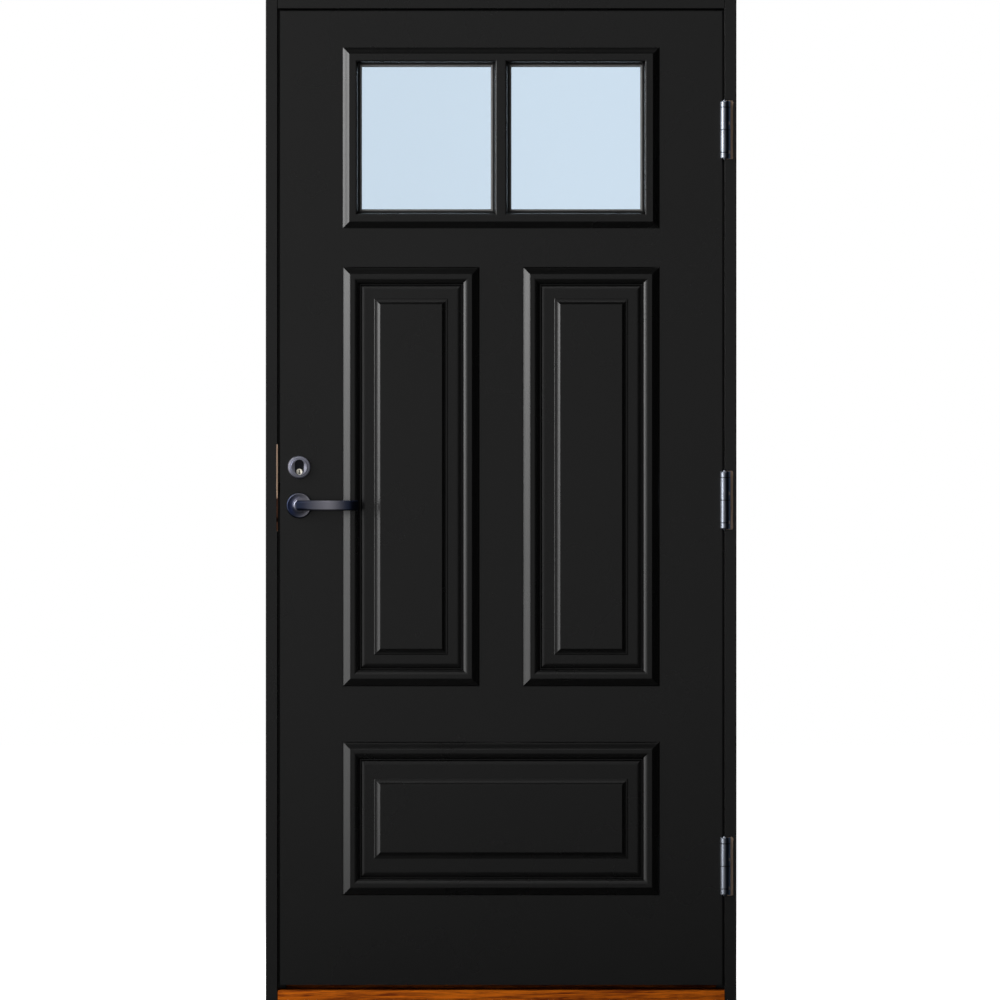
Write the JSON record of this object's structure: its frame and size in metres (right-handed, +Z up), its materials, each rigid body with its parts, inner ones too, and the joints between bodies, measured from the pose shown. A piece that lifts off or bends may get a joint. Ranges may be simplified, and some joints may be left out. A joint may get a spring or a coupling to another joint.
{
  "type": "panelled front door with frame",
  "caption": "Outward-opening panelled entrance door in a rebated timber frame, with glazed lights, raised panels, barrel hinges, lever handle, latch and dead bolt.",
  "frame": {"origin": "middle of the frame's underside: half the width, half the depth, at the floor", "axes": "+X along the wall to the right seen from outdoors, -Y outdoors, +Z up"},
  "size_m": [0.98, 0.1634, 2.09],
  "materials": {
    "black_paint": "satin black paint",
    "inner_timber": "bare laminated timber",
    "stained_hardwood": "oiled hardwood",
    "seal_rubber": "matt",
    "strike_metal": "yellow passivated",
    "hinge_zinc": "bright zinc",
    "lock_steel": "plain",
    "satin_metal": "dark satin",
    "cylinder_metal": "dark satin",
    "plug_brass": "polished",
    "clear_glass": "clear",
    "spacer_metal": "plain"
  },
  "bodies": {
    "frame": {"lock_jamb": "black_paint", "hinge_jamb": "black_paint", "frame_head": "black_paint", "threshold": "stained_hardwood", "frame_seal": "seal_rubber", "strike_plate": "strike_metal", "upper_hinge_frame_leaf": "hinge_zinc", "middle_hinge_frame_leaf": "hinge_zinc", "lower_hinge_frame_leaf": "hinge_zinc", "upper_hinge_pin": "lock_steel", "middle_hinge_pin": "lock_steel", "lower_hinge_pin": "lock_steel", "hinge_bottom_caps": "hinge_zinc", "frame_screws": "lock_steel", "corner_screws": "lock_steel"},
    "leaf": {"outer_skin": "black_paint", "inner_skin": "black_paint", "lock_stile": "inner_timber", "hinge_stile": "inner_timber", "top_rail": "inner_timber", "window_rail": "inner_timber", "middle_rail": "inner_timber", "bottom_rail": "inner_timber", "centre_muntin": "inner_timber", "left_panel": "black_paint", "right_panel": "black_paint", "lower_panel": "black_paint", "outer_left_moulding": "black_paint", "outer_right_moulding": "black_paint", "outer_lower_moulding": "black_paint", "inner_left_moulding": "black_paint", "inner_right_moulding": "black_paint", "inner_lower_moulding": "black_paint", "outer_window_frame": "black_paint", "inner_window_frame": "black_paint", "outer_pane": "clear_glass", "inner_pane": "clear_glass", "glass_spacer": "spacer_metal", "glazing_seals": "seal_rubber", "upper_hinge_door_leaf": "hinge_zinc", "middle_hinge_door_leaf": "hinge_zinc", "lower_hinge_door_leaf": "hinge_zinc", "hinge_top_caps": "hinge_zinc", "leaf_screws": "lock_steel", "lock_case": "lock_steel", "outer_rosette": "satin_metal", "inner_rosette": "satin_metal", "cylinder_ring": "satin_metal", "cylinder_body": "cylinder_metal", "turn_rosette": "satin_metal"},
    "handle": {"outer_lever": "satin_metal", "inner_lever": "satin_metal", "spindle": "lock_steel", "handle_follower": "lock_steel"},
    "latch": {"latch_bolt": "lock_steel"},
    "turn": {"thumb_turn": "satin_metal", "bolt_follower": "lock_steel"},
    "bolt": {"dead_bolt": "lock_steel"},
    "plug": {"key_plug": "plug_brass"}
  },
  "joints": [
    {"name": "leaf_swing", "type": "hinge", "parent": "frame", "child": "leaf", "pos_m": [0.465, -0.062, 0], "axis": [0, 0, 1], "range_deg": [0, 170]},
    {"name": "handle_turn", "type": "hinge", "parent": "leaf", "child": "handle", "pos_m": [-0.42, -0.0215, 1.031], "axis": [0, 1, 0], "range_deg": [0, 40], "stiffness_Nm_per_rad": 1.2, "springref_deg": -34.38},
    {"name": "latch_slide", "type": "slide", "parent": "leaf", "child": "latch", "axis": [1, 0, 0], "range_m": [0, 0.012]},
    {"name": "thumb_turn", "type": "hinge", "parent": "leaf", "child": "turn", "pos_m": [-0.42, -0.0215, 1.101], "axis": [0, -1, 0], "range_deg": [0, 90]},
    {"name": "bolt_slide", "type": "slide", "parent": "leaf", "child": "bolt", "axis": [-1, 0, 0], "range_m": [0, 0.02]},
    {"name": "key_turn", "type": "hinge", "parent": "leaf", "child": "plug", "pos_m": [-0.42, -0.0215, 1.101], "axis": [0, -1, 0], "range_deg": [0, 90]}
  ],
  "couplings": [
    {"joint": "latch_slide", "follows": "handle_turn", "m_per_rad": 0.017189},
    {"joint": "bolt_slide", "follows": "thumb_turn", "m_per_rad": 0.012732},
    {"joint": "key_turn", "follows": "thumb_turn", "ratio": 1}
  ]
}
